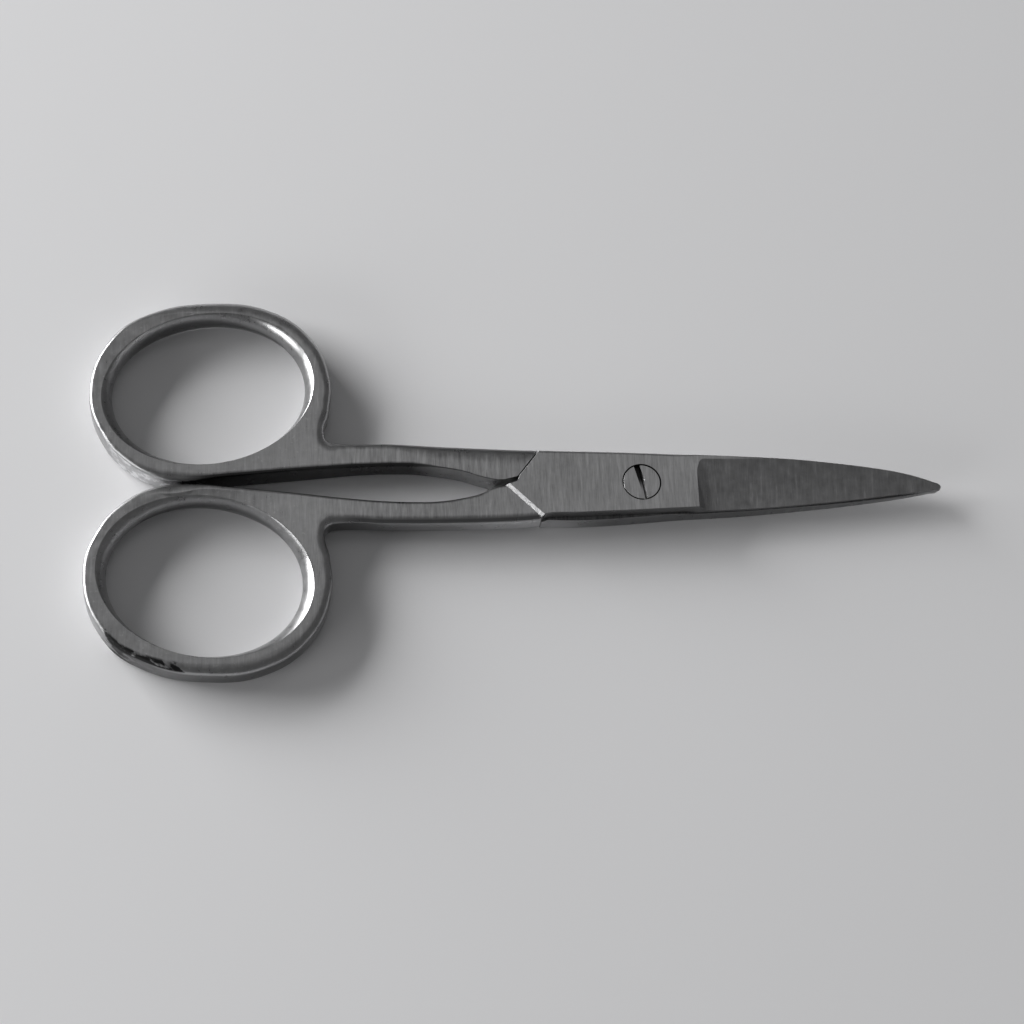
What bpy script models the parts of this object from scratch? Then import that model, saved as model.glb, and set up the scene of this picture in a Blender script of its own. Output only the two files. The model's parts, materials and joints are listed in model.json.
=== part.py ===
"""Small straight nail scissors: two forged halves that lap at a pivot screw.

Each half is worked out in its own frame and then placed. In that frame the pivot
is the origin, the middle plane of the scissors is z = 0, the blade points along
+X, the finger ring is on the +Y side and the blade's cutting edge too. The half's
box and blade lie below the middle plane. The bottom half stands as it is, and the
top half is the same forging turned over about the X axis.

In the placed model +X points to the tip and +Z is up. The origin is the middle of
the closed scissors' length and width, on the plane that they lie on.
"""

import math

import bmesh
import bpy
from mathutils import Matrix, Vector

MM = 0.001

# Overall sizes
TIP_REACH = 32.4 * MM
RING_REACH = 57.6 * MM
HALF_THICKNESS = 1.65 * MM
LAP_GAP = 0.1 * MM

# Finger ring
RING_LENGTH = 25.4 * MM
RING_WIDTH = 21.2 * MM
RING_GAP = 0.3 * MM
HOLE_LENGTH = 20.2 * MM
HOLE_WIDTH = 16.5 * MM
HOLE_SETBACK = 0.2 * MM
HOLE_TILT = math.radians(8.5)
HOLE_POINTS = 44

# Shank
SHANK_REACH = 4.65 * MM
SHANK_OPENING = 2.3 * MM
SHANK_RELIEF = 0.27 * MM
NECK_FILLET = 1.2 * MM
NECK_INSET = 0.7 * MM
RELIEF_RAMP = 5.0 * MM
HANDLE_ROUNDING = 0.9 * MM

# Box joint and blade
ARROW_REACH = 14.2 * MM
ARROW_OFFSET = 0.3 * MM
BOX_BACK = 10.3 * MM
BOX_HALF_WIDTH = 4.0 * MM
BLADE_START = 6.0 * MM
BLADE_HALF_WIDTH = 3.1 * MM
SHOULDER_GAP = 0.3 * MM
WALL_CHAMFER = 0.35 * MM
GRIND_AT_SPINE = 0.1 * MM
EDGE_THICKNESS = 0.3 * MM
TIP_THICKNESS = 0.55 * MM
WHEEL_RADIUS = 1.2 * MM

# Pivot screw
HEAD_RADIUS = 1.95 * MM
HEAD_HEIGHT = 0.7 * MM
HEAD_BELOW_FACE = 0.03 * MM
SHOULDER_RADIUS = 1.4 * MM
SCREW_END_RADIUS = 1.2 * MM
SCREW_END_RECESS = 0.1 * MM
SCREW_CHAMFER = 0.2 * MM
SCREW_SEAT_GAP = 0.02 * MM
RUNNING_CLEARANCE = 0.05 * MM
SLOT_WIDTH = 0.5 * MM
SLOT_DEPTH = 0.4 * MM
SLOT_TURN = math.radians(106)
ROUND_STEPS = 40

# One overrun serves every cut, and one small distance every merge
OVERRUN = 2.0 * MM
MERGE = 0.01 * MM

# How finely curves are divided, and the angles that tell flat, smooth and sharp apart
HANDLE_STEPS = 5
FRONT_STEPS = 4
ROUNDING_STEPS = 2
WHEEL_STEPS = 6
FLAT_ANGLE = math.radians(0.05)
SHARP_ANGLE = math.radians(30)
RIM_ANGLE = math.radians(60)

# The ring's outline, as shares of its half length and half width from its centre
RING_SHARES = [
    (-0.3, -1.0),
    (-0.49, -0.94),
    (-0.69, -0.79),
    (-0.87, -0.55),
    (-1.0, -0.05),
    (-0.84, 0.55),
    (-0.5, 0.87),
    (0.0, 1.0),
    (0.485, 0.91),
    (0.83, 0.6),
    (0.985, 0.15),
    (0.98, -0.23),
]

# The shank's inner edge: share of the way from arrow tip to ring centre, share of the opening
INNER_EDGE_SHARES = [
    (0.04, 0.2),
    (0.072, 0.41),
    (0.134, 0.72),
    (0.222, 0.92),
    (0.336, 1.0),
    (0.482, 0.92),
    (0.733, 0.59),
    (0.938, 0.285),
]

# The shank's outer edge: share of the way from arrow tip to ring centre, share of its reach
OUTER_EDGE_SHARES = [
    (0.39, 1.0),
    (0.13, 0.94),
]

# The blade's two edges: share of the blade's length, share of its half width at the root
CUTTING_EDGE_SHARES = [
    (0.06, 0.86),
    (0.25, 0.76),
    (0.455, 0.6),
    (0.62, 0.455),
    (0.83, 0.23),
]
SPINE_SHARES = [
    (0.9, 0.3),
    (0.8, 0.47),
    (0.66, 0.65),
    (0.5, 0.79),
    (0.32, 0.91),
    (0.12, 0.99),
]
TIP_SHARES = [(1.0, 0.05), (1.0, -0.07)]

# The box's long sides: share of the way from its back to the blade, share of its half width
BOX_SIDE_SHARES = [(0.4, 0.96), (0.75, 0.87)]

# The steel that shows between the shoulder and the arrow, as shares of the arrow's own sizes
ARROW_NOTCH_SHARES = [(0.63, 0.23), (0.75, 0.03)]

RING_X = RING_LENGTH / 2 - RING_REACH
RING_Y = (RING_GAP + RING_WIDTH) / 2
PIVOT_X = (RING_REACH - TIP_REACH) / 2
LAP_Z = -LAP_GAP / 2
SHANK_HALF_THICKNESS = HALF_THICKNESS - SHANK_RELIEF


def make_collection(name):
    collection = bpy.data.collections.new(name)
    bpy.context.scene.collection.children.link(collection)
    return collection


def clear_scene():
    for obj in list(bpy.data.objects):
        bpy.data.objects.remove(obj, do_unlink=True)


def make_material(name, colour, roughness):
    material = bpy.data.materials.new(name)
    material.use_nodes = True
    shader = material.node_tree.nodes["Principled BSDF"]
    shader.inputs["Base Color"].default_value = (*colour, 1)
    shader.inputs["Metallic"].default_value = 1
    shader.inputs["Roughness"].default_value = roughness
    return material


def link_mesh(name, mesh, collection):
    obj = bpy.data.objects.new(name, mesh)
    collection.objects.link(obj)
    return obj


def as_cutter(obj, parent):
    """A helper that a Boolean reads: it follows its piece and isn't part of the model."""
    obj.parent = parent
    obj.hide_render = True
    obj.display_type = "WIRE"
    return obj


def boolean(obj, other, operation, name):
    modifier = obj.modifiers.new(name, "BOOLEAN")
    modifier.operation = operation
    modifier.solver = "EXACT"
    modifier.object = other


def add_spline(curve, points):
    """Adds a closed outline of (x, y, corner) points; a corner is sharp, the rest are smooth."""
    spline = curve.splines.new("BEZIER")
    spline.bezier_points.add(len(points) - 1)
    spline.use_cyclic_u = True
    for target, (x, y, corner) in zip(spline.bezier_points, points, strict=True):
        target.co = (x, y, 0)
        handle = "VECTOR" if corner else "AUTO"
        target.handle_left_type = handle
        target.handle_right_type = handle


def add_ellipse(curve, centre, length, width, tilt, count):
    """Adds a closed ellipse, worked out from its centre, two diameters and tilt."""
    spline = curve.splines.new("POLY")
    spline.points.add(count - 1)
    spline.use_cyclic_u = True
    for index, target in enumerate(spline.points):
        angle = math.tau * index / count
        along = math.cos(angle) * length / 2
        across = math.sin(angle) * width / 2
        x = centre[0] + along * math.cos(tilt) - across * math.sin(tilt)
        y = centre[1] + along * math.sin(tilt) + across * math.cos(tilt)
        target.co = (x, y, 0, 1)


def flat_curve(name, half_height, resolution):
    """A flat outline that becomes a slab of twice half_height."""
    curve = bpy.data.curves.new(name, "CURVE")
    curve.dimensions = "2D"
    curve.fill_mode = "BOTH"
    curve.resolution_u = resolution
    curve.extrude = half_height
    return curve


def curve_to_mesh(name, curve):
    """Turns a flat curve into a closed mesh, whose caps are welded to its walls."""
    holder = bpy.data.objects.new(name, curve)
    bpy.context.scene.collection.objects.link(holder)
    bpy.context.view_layer.update()
    evaluated = holder.evaluated_get(bpy.context.evaluated_depsgraph_get())
    mesh = bpy.data.meshes.new_from_object(evaluated)
    mesh.name = name
    bpy.data.objects.remove(holder, do_unlink=True)
    bpy.data.curves.remove(curve)
    shape = bmesh.new()
    shape.from_mesh(mesh)
    bmesh.ops.remove_doubles(shape, verts=shape.verts, dist=MERGE)
    bmesh.ops.dissolve_limit(
        shape,
        angle_limit=FLAT_ANGLE,
        verts=shape.verts,
        edges=shape.edges,
    )
    bmesh.ops.recalc_face_normals(shape, faces=shape.faces)
    shape.to_mesh(mesh)
    shape.free()
    return mesh


def shade(mesh):
    mesh.shade_smooth()
    mesh.set_sharp_from_angle(angle=SHARP_ANGLE)


def along_shank(share):
    """The x of a share of the way from the arrow's tip to the ring's centre."""
    return -ARROW_REACH + share * (RING_X + ARROW_REACH)


def handle_mesh():
    """The ring and shank as one slab with rounded edges; its front end is inside the box."""
    ring_right = RING_X + RING_LENGTH / 2
    neck_x = ring_right - NECK_INSET
    turn = NECK_FILLET * (1 - math.cos(math.pi / 4))
    front = -BOX_BACK + OVERRUN
    inner_y = SHOULDER_GAP / 2
    points = [(front, inner_y, True), (-ARROW_REACH + ARROW_OFFSET, inner_y, True)]
    for along, out in INNER_EDGE_SHARES:
        points.append((along_shank(along), out * SHANK_OPENING, False))
    for along, out in RING_SHARES:
        x = RING_X + along * RING_LENGTH / 2
        y = RING_Y + out * RING_WIDTH / 2
        points.append((x, y, False))
    points.append((neck_x, SHANK_REACH + NECK_FILLET, False))
    points.append((neck_x + turn, SHANK_REACH + turn, False))
    points.append((neck_x + NECK_FILLET, SHANK_REACH, False))
    for along, out in OUTER_EDGE_SHARES:
        points.append((along_shank(along), out * SHANK_REACH, False))
    points.append((front, BOX_HALF_WIDTH - WALL_CHAMFER / 2, True))

    curve = flat_curve("handle", HALF_THICKNESS - HANDLE_ROUNDING, HANDLE_STEPS)
    curve.bevel_depth = HANDLE_ROUNDING
    curve.bevel_resolution = ROUNDING_STEPS
    curve.offset = -HANDLE_ROUNDING
    add_spline(curve, points)
    hole_centre = (RING_X - HOLE_SETBACK, RING_Y - HOLE_SETBACK)
    add_ellipse(curve, hole_centre, HOLE_LENGTH, HOLE_WIDTH, HOLE_TILT, HOLE_POINTS)
    return curve_to_mesh("handle", curve)


def slab_mesh(name, outline, low, high, resolution=1):
    """An outline of (x, y, corner) points, extruded from one height to another."""
    curve = flat_curve(name, (high - low) / 2, resolution)
    add_spline(curve, outline)
    mesh = curve_to_mesh(name, curve)
    mesh.transform(Matrix.Translation((0, 0, (low + high) / 2)))
    return mesh


def blade_x(share):
    return BLADE_START + share * (TIP_REACH - BLADE_START)


def box_side(sign):
    """The box's long side on one side of the pivot, from its back to the blade."""
    points = [(-BOX_BACK, sign * BOX_HALF_WIDTH, True)]
    for along, out in BOX_SIDE_SHARES:
        x = -BOX_BACK + along * (BLADE_START + BOX_BACK)
        points.append((x, sign * out * BOX_HALF_WIDTH, False))
    return points


def arrow_notch():
    """The box's back edge beside the other half's shoulder, from its side to the arrow's tip."""
    points = []
    for along, out in ARROW_NOTCH_SHARES:
        x = -BOX_BACK - along * (ARROW_REACH - BOX_BACK)
        points.append((x, -out * BOX_HALF_WIDTH, True))
    return points


def front_mesh():
    """The box and blade as one slab, chamfered round the box's outer face and along the spine.

    The slab stands above the lap face, which the lap cut makes on the whole half at once.
    """
    outline = [(-ARROW_REACH, ARROW_OFFSET, True)]
    outline += box_side(1)
    outline += [(blade_x(a), o * BLADE_HALF_WIDTH, False) for a, o in CUTTING_EDGE_SHARES]
    outline += [(blade_x(a), o * BLADE_HALF_WIDTH, True) for a, o in TIP_SHARES]
    outline += [(blade_x(a), -o * BLADE_HALF_WIDTH, False) for a, o in SPINE_SHARES]
    outline += reversed(box_side(-1))
    outline += arrow_notch()
    mesh = slab_mesh("front", outline, -HALF_THICKNESS, LAP_Z + OVERRUN / 4, FRONT_STEPS)

    shape = bmesh.new()
    shape.from_mesh(mesh)
    rim = []
    for edge in shape.edges:
        low = all(v.co.z < -HALF_THICKNESS + MERGE for v in edge.verts)
        box = all(v.co.x < BLADE_START + WHEEL_RADIUS for v in edge.verts)
        spine = all(v.co.y < -WALL_CHAMFER for v in edge.verts)
        if low and (box or spine) and edge.calc_face_angle(0) > RIM_ANGLE:
            rim.append(edge)
    bmesh.ops.bevel(
        shape,
        geom=rim,
        offset=WALL_CHAMFER,
        offset_type="OFFSET",
        affect="EDGES",
        segments=1,
        profile=0.5,
        material=-1,
    )
    shape.to_mesh(mesh)
    shape.free()
    return mesh


def block_mesh(name, low, high):
    """A box from its lowest corner to its highest."""
    shape = bmesh.new()
    bmesh.ops.create_cube(shape, size=1)
    size = high - low
    bmesh.ops.scale(shape, vec=size, verts=shape.verts)
    bmesh.ops.translate(shape, vec=(low + high) / 2, verts=shape.verts)
    mesh = bpy.data.meshes.new(name)
    shape.to_mesh(mesh)
    shape.free()
    return mesh


def grind_mesh():
    """The steel that the grinding wheel takes off the blade's outer face.

    Its flat top is the ground face, through three points: the spine and the cutting
    edge at the blade's root, and the tip. The edge at the root has the wheel's radius.
    """
    spine = Vector((BLADE_START, -BLADE_HALF_WIDTH, GRIND_AT_SPINE - HALF_THICKNESS))
    edge = Vector((BLADE_START, BLADE_HALF_WIDTH, LAP_Z - EDGE_THICKNESS))
    tip = Vector((TIP_REACH, 0, LAP_Z - TIP_THICKNESS))
    across = (edge - spine).normalized()
    normal = (tip - spine).cross(across).normalized()
    along = across.cross(normal)
    reach = TIP_REACH - BLADE_START + OVERRUN
    half_width = BLADE_HALF_WIDTH + OVERRUN
    low = Vector((0, -half_width, -HALF_THICKNESS - OVERRUN))
    high = Vector((reach, half_width, 0))
    mesh = block_mesh("grind", low, high)
    shape = bmesh.new()
    shape.from_mesh(mesh)
    corner = []
    for item in shape.edges:
        if all(v.co.x < MERGE and v.co.z > -MERGE for v in item.verts):
            corner.append(item)
    bmesh.ops.bevel(
        shape,
        geom=corner,
        offset=WHEEL_RADIUS,
        offset_type="OFFSET",
        affect="EDGES",
        segments=WHEEL_STEPS,
        profile=0.5,
        material=-1,
    )
    shape.to_mesh(mesh)
    shape.free()
    axes = Matrix((along, across, normal)).transposed().to_4x4()
    mesh.transform(Matrix.Translation((spine + edge) / 2) @ axes)
    return mesh


def relief_mesh():
    """The layer that is ground off the shank's outer face, so that the box stands proud of it."""
    ramp_start = RING_X + RING_LENGTH / 2 - RELIEF_RAMP / 2
    ramp_end = ramp_start + RELIEF_RAMP
    low = Vector((ramp_start, -OVERRUN, SHANK_HALF_THICKNESS))
    high = Vector((-BOX_BACK + 2 * OVERRUN, RING_WIDTH + OVERRUN, HALF_THICKNESS + OVERRUN))
    mesh = block_mesh("relief", low, high)
    shape = bmesh.new()
    shape.from_mesh(mesh)
    corner = []
    for item in shape.edges:
        at_start = all(v.co.x < ramp_start + MERGE for v in item.verts)
        at_floor = all(v.co.z < SHANK_HALF_THICKNESS + MERGE for v in item.verts)
        if at_start and at_floor:
            corner.append(item)
    ramp_floor = bmesh.ops.bevel(
        shape,
        geom=corner,
        offset=SHANK_RELIEF,
        offset_type="OFFSET",
        affect="EDGES",
        segments=1,
        profile=0.5,
        material=-1,
    )
    for vert in ramp_floor["verts"]:
        if vert.co.z < SHANK_HALF_THICKNESS + MERGE:
            vert.co.x = ramp_end
    shape.to_mesh(mesh)
    shape.free()
    return mesh


def lap_mesh():
    """All the space above the lap face: the other half's box and blade, and the shoulder's gap."""
    back = Vector((-BOX_BACK, BOX_HALF_WIDTH))
    notch = [Vector((x, -y)) for x, y, corner in arrow_notch()]
    run = (notch[0] - back).normalized()
    gap = Vector((-run.y, run.x)) * -SHOULDER_GAP
    side = BOX_HALF_WIDTH + OVERRUN
    front = TIP_REACH + OVERRUN
    behind = -ARROW_REACH - OVERRUN
    edge = [back - run * OVERRUN + gap, *[point + gap for point in notch]]
    edge += [Vector((behind, 0)), Vector((behind, -side))]
    edge += [Vector((front, -side)), Vector((front, side)), Vector((edge[0].x, side))]
    outline = [(point.x, point.y, True) for point in edge]
    return slab_mesh("lap", outline, LAP_Z, HALF_THICKNESS + OVERRUN)


def turned_mesh(name, profile):
    """A solid turned about the Z axis from (radius, height) points, listed from top to bottom."""
    shape = bmesh.new()
    verts = [shape.verts.new((radius, 0, height)) for radius, height in profile]
    edges = [shape.edges.new(pair) for pair in zip(verts, verts[1:])]
    bmesh.ops.spin(
        shape,
        geom=verts + edges,
        cent=(0, 0, 0),
        axis=(0, 0, 1),
        dvec=(0, 0, 0),
        angle=math.tau,
        steps=ROUND_STEPS,
        use_merge=True,
        use_normal_flip=False,
        use_duplicate=False,
    )
    bmesh.ops.remove_doubles(shape, verts=shape.verts, dist=MERGE)
    bmesh.ops.recalc_face_normals(shape, faces=shape.faces)
    mesh = bpy.data.meshes.new(name)
    shape.to_mesh(mesh)
    shape.free()
    return mesh


def tapped_hole_mesh():
    """The bottom half's hole, which takes the screw's end."""
    radius = SCREW_END_RADIUS + RUNNING_CLEARANCE
    top = HALF_THICKNESS
    bottom = -HALF_THICKNESS - OVERRUN
    return turned_mesh("tapped_hole", [(0, top), (radius, top), (radius, bottom), (0, bottom)])


def bored_hole_mesh():
    """The top half's bore and counterbore, in the frame of a half that isn't turned over."""
    bore = SHOULDER_RADIUS + RUNNING_CLEARANCE
    sink = HEAD_RADIUS + RUNNING_CLEARANCE
    floor = -HALF_THICKNESS + HEAD_BELOW_FACE + HEAD_HEIGHT + RUNNING_CLEARANCE
    top = HALF_THICKNESS
    bottom = -HALF_THICKNESS - OVERRUN
    profile = [(0, top), (bore, top), (bore, floor), (sink, floor), (sink, bottom), (0, bottom)]
    return turned_mesh("bored_hole", profile)


def make_half(name, hole, turned_over, material, parts, cutters):
    """One half, from its blanks and cuts. Its origin is on the pivot's axis."""
    half = link_mesh(name, handle_mesh(), parts)
    half.location = (PIVOT_X, 0, HALF_THICKNESS)
    half.rotation_euler = (math.pi if turned_over else 0, 0, 0)

    relief = relief_mesh()
    upper = as_cutter(link_mesh(name + "_upper_relief", relief, cutters), half)
    lower_relief = relief.copy()
    lower_relief.transform(Matrix.Scale(-1, 4, (0, 0, 1)))
    lower_relief.flip_normals()
    lower = as_cutter(link_mesh(name + "_lower_relief", lower_relief, cutters), half)
    lap = as_cutter(link_mesh(name + "_lap", lap_mesh(), cutters), half)
    grind = as_cutter(link_mesh(name + "_grind", grind_mesh(), cutters), half)
    front = as_cutter(link_mesh(name + "_front", front_mesh(), cutters), half)
    drill = as_cutter(link_mesh(name + "_drill", hole, cutters), half)

    boolean(front, grind, "DIFFERENCE", "ground face")
    boolean(front, drill, "DIFFERENCE", "hole")
    boolean(half, upper, "DIFFERENCE", "upper relief")
    boolean(half, lower, "DIFFERENCE", "lower relief")
    boolean(half, front, "UNION", "box and blade")
    boolean(half, lap, "DIFFERENCE", "lap and shoulder")
    shade(half.data)
    half.data.materials.append(material)
    return half


def make_screw(material, parts, cutters):
    """The pivot screw: head, plain shoulder and an end that is screwed into the bottom half."""
    head_top = HALF_THICKNESS - HEAD_BELOW_FACE
    head_floor = head_top - HEAD_HEIGHT
    seat = LAP_Z + SCREW_SEAT_GAP
    end = -HALF_THICKNESS + SCREW_END_RECESS
    profile = [
        (0, head_top),
        (HEAD_RADIUS, head_top),
        (HEAD_RADIUS, head_floor),
        (SHOULDER_RADIUS, head_floor),
        (SHOULDER_RADIUS, seat),
        (SCREW_END_RADIUS, seat),
        (SCREW_END_RADIUS, end + SCREW_CHAMFER),
        (SCREW_END_RADIUS - SCREW_CHAMFER, end),
        (0, end),
    ]
    screw = link_mesh("pivot_screw", turned_mesh("pivot_screw", profile), parts)
    screw.location = (PIVOT_X, 0, HALF_THICKNESS)
    low = Vector((-HEAD_RADIUS - OVERRUN, -SLOT_WIDTH / 2, head_top - SLOT_DEPTH))
    high = Vector((HEAD_RADIUS + OVERRUN, SLOT_WIDTH / 2, head_top + OVERRUN))
    slot = as_cutter(link_mesh("screw_slot", block_mesh("slot", low, high), cutters), screw)
    slot.rotation_euler = (0, 0, SLOT_TURN)
    boolean(screw, slot, "DIFFERENCE", "slot")
    shade(screw.data)
    screw.data.materials.append(material)
    return screw


def main():
    clear_scene()
    parts = make_collection("nail_scissors")
    cutters = make_collection("cutters")
    top_steel = make_material("top_half_steel", (0.4, 0.4, 0.4), 0.36)
    bottom_steel = make_material("bottom_half_steel", (0.38, 0.38, 0.38), 0.36)
    screw_steel = make_material("screw_steel", (0.36, 0.36, 0.36), 0.4)
    make_half("bottom_half", tapped_hole_mesh(), False, bottom_steel, parts, cutters)
    make_half("top_half", bored_hole_mesh(), True, top_steel, parts, cutters)
    make_screw(screw_steel, parts, cutters)


main()
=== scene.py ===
# %% [markdown]
# # Small straight nail scissors
#
# The real thing is two steel forgings that are turned over against each other and held by one
# slotted screw. They lie closed on a table, seen from above and a little from the front left.
#
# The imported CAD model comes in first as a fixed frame. It says where the pivot is, which piece
# moves with which, and how big everything may be. The fine pieces made below stand in for its
# plain ones. Another way would be to put finer detail into the CAD itself, but its solids have
# to stay light enough to be tested, so the finish is made here.

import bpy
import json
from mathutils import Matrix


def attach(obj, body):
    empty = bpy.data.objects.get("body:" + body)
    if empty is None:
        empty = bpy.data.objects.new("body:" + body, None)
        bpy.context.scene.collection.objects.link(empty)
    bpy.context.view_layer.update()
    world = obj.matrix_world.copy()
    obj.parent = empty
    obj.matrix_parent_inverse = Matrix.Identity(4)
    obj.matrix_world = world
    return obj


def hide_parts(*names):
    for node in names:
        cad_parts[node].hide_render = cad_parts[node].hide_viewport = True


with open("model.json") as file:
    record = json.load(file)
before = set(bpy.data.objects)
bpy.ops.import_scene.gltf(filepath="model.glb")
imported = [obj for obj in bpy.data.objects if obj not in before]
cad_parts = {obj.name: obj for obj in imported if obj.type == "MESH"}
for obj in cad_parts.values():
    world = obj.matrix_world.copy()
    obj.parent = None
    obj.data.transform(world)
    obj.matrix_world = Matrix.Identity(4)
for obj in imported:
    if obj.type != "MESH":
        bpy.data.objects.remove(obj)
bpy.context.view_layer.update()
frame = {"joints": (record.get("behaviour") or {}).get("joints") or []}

# %% Name the modules and the pivot
import json
import math

import bmesh
import bpy
from mathutils import Matrix, Vector
from mathutils.geometry import interpolate_bezier

MM = 0.001
pivot = Vector(frame["joints"][0]["pos_m"])
print("pivot in millimetres", [round(v / MM, 3) for v in pivot])

# %% [markdown]
# ## The camera
#
# The picture was taken from above, leaning back about 25 degrees, with the camera turned a
# little round the scissors. The angle and distance were worked out from the ellipses of the
# finger holes and the round screw head. A camera can be aimed with a Track To constraint, but a
# rotation matrix made of its own right, up and back directions also holds the small roll.

# %% Place the camera
VIEW_AZIMUTH = math.radians(-13.83)
VIEW_ELEVATION = math.radians(64.75)
VIEW_ROLL = math.radians(12.81)
VIEW_DISTANCE = 251.9 * MM
VIEW_TARGET = Vector((-0.92, 0.08, 1.65)) * MM
VIEW_LENS = 84.48
SENSOR_WIDTH = 36
PICTURE_WIDTH = 1024
VIEW_SHIFT = -25 / PICTURE_WIDTH
NEAREST_SEEN = 10 * MM


def make_camera():
    back = Vector((
        math.sin(VIEW_AZIMUTH) * math.cos(VIEW_ELEVATION),
        -math.cos(VIEW_AZIMUTH) * math.cos(VIEW_ELEVATION),
        math.sin(VIEW_ELEVATION),
    ))
    level = Vector((math.cos(VIEW_AZIMUTH), math.sin(VIEW_AZIMUTH), 0))
    upright = back.cross(level)
    right = level * math.cos(VIEW_ROLL) + upright * math.sin(VIEW_ROLL)
    up = upright * math.cos(VIEW_ROLL) - level * math.sin(VIEW_ROLL)
    data = bpy.data.cameras.new("camera")
    data.lens = VIEW_LENS
    data.sensor_width = SENSOR_WIDTH
    data.shift_y = VIEW_SHIFT
    data.clip_start = NEAREST_SEEN
    camera = bpy.data.objects.new("camera", data)
    bpy.context.scene.collection.objects.link(camera)
    turned = Matrix((right, up, back)).transposed().to_4x4()
    camera.matrix_world = Matrix.Translation(VIEW_TARGET + back * VIEW_DISTANCE) @ turned
    bpy.context.scene.camera = camera
    return camera


camera = make_camera()
print("camera at", [round(v, 4) for v in camera.location])

# %% [markdown]
# ## One frame for both halves
#
# Both halves are drawn the same way up: the pivot is the origin, the middle plane between the
# halves is z = 0, the outer face is up, the blade points along +X and the finger ring is on the
# -Y side. The top half is used as drawn. The bottom half is turned over about the X axis, just
# as its forging is when the scissors are put together. Drawn sizes are in millimetres.

# %% Where each half stands
STAND = {
    "top": Matrix.Translation(pivot),
    "bottom": Matrix.Translation(pivot) @ Matrix.Rotation(math.pi, 4, "X"),
}
OUTER_FACE = 1.65
LAP_FACE = 0.03
print("halves", list(STAND))

# %% [markdown]
# ## Drawing outlines
#
# A forging's outline is smooth with a few sharp corners. A curve object is the quickest way to
# get it: points listed one by one, automatic handles between, and straight ones at the corners.
# The curve is read back into a bmesh as a ring of vertices, which the modelling operators can
# then extrude.

# %% Draw a closed outline into a bmesh
MERGE = 0.002 * MM


def draw_outline(shape, points, steps):
    """Adds a closed line through (x, y) points in millimetres; a third value marks a corner."""
    curve = bpy.data.curves.new("outline", "CURVE")
    curve.dimensions = "2D"
    curve.fill_mode = "NONE"
    curve.resolution_u = steps
    spline = curve.splines.new("BEZIER")
    spline.bezier_points.add(len(points) - 1)
    spline.use_cyclic_u = True
    for target, (x, y, *corner) in zip(spline.bezier_points, points, strict=True):
        target.co = (x * MM, y * MM, 0)
        handle = "VECTOR" if corner else "AUTO"
        target.handle_left_type = handle
        target.handle_right_type = handle
    holder = bpy.data.objects.new("outline", curve)
    bpy.context.scene.collection.objects.link(holder)
    bpy.context.view_layer.update()
    drawn = holder.evaluated_get(bpy.context.evaluated_depsgraph_get())
    shape.from_mesh(drawn.to_mesh())
    bpy.data.objects.remove(holder)
    bpy.data.curves.remove(curve)
    # The layer for numbers is added now, because a later one would make these lists invalid.
    shape.verts.layers.int.new("number")
    return shape.verts[:], shape.edges[:]


def raise_slab(shape, points, steps, low, high):
    """Fills an outline at one height and extrudes it to another, both in millimetres."""
    edges = draw_outline(shape, points, steps)[1]
    base = bmesh.ops.contextual_create(shape, geom=edges)["faces"]
    bmesh.ops.translate(shape, verts=shape.verts, vec=(0, 0, low * MM))
    raised = bmesh.ops.extrude_face_region(shape, geom=base, use_keep_orig=True)["geom"]
    for item in raised:
        if isinstance(item, bmesh.types.BMVert):
            item.co.z = high * MM


# %% Slice, close and finish a bmesh
def parts_of(shape):
    return shape.verts[:] + shape.edges[:] + shape.faces[:]


def middle_of(edge):
    return (edge.verts[0].co + edge.verts[1].co) / 2 / MM


def slice_shape(shape, place, normal, **clear):
    """Cuts the faces along a plane; clear_inner or clear_outer also drops one side."""
    bmesh.ops.bisect_plane(
        shape, geom=parts_of(shape), dist=MERGE, plane_co=place, plane_no=normal, **clear
    )


def close_rims(shape):
    """Fills every opening with one face."""
    rims = [edge for edge in shape.edges if len(edge.link_faces) == 1]
    bmesh.ops.holes_fill(shape, edges=rims, sides=0)


def count_open_edges(shape):
    return sum(1 for edge in shape.edges if len(edge.link_faces) != 2)


def finish_mesh(shape, name):
    """Turns a bmesh into a mesh, with its doubles merged and its faces pointing out."""
    bmesh.ops.remove_doubles(shape, verts=shape.verts, dist=MERGE)
    bmesh.ops.recalc_face_normals(shape, faces=shape.faces)
    mesh = bpy.data.meshes.new(name)
    shape.to_mesh(mesh)
    shape.free()
    return mesh


def link_piece(name, mesh):
    piece = bpy.data.objects.new(name, mesh)
    bpy.context.scene.collection.objects.link(piece)
    return piece


# %% [markdown]
# ## Ring and shank
#
# The finger ring and the shank are one bar of steel whose edges were rolled over in the forging
# die and then polished. In section the ring's edge is full on its near side and flatter on its
# far side, and tight at its left end. Along the shank it is a quarter round, broad and worn on
# the front part of the bottom half's, and almost sharp in the gap between the shanks. The far
# side of the ring's face sinks a little towards its edge. The inside of the ring was opened
# with a tapered drift from both faces, which left a faint ridge at half height.
#
# A bevel on an extruded outline would give one width everywhere. Here the outline is extruded
# level by level instead, and each level is moved in by its own share of a width that changes
# from place to place. Only the upper part is made, then mirrored.

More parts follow.
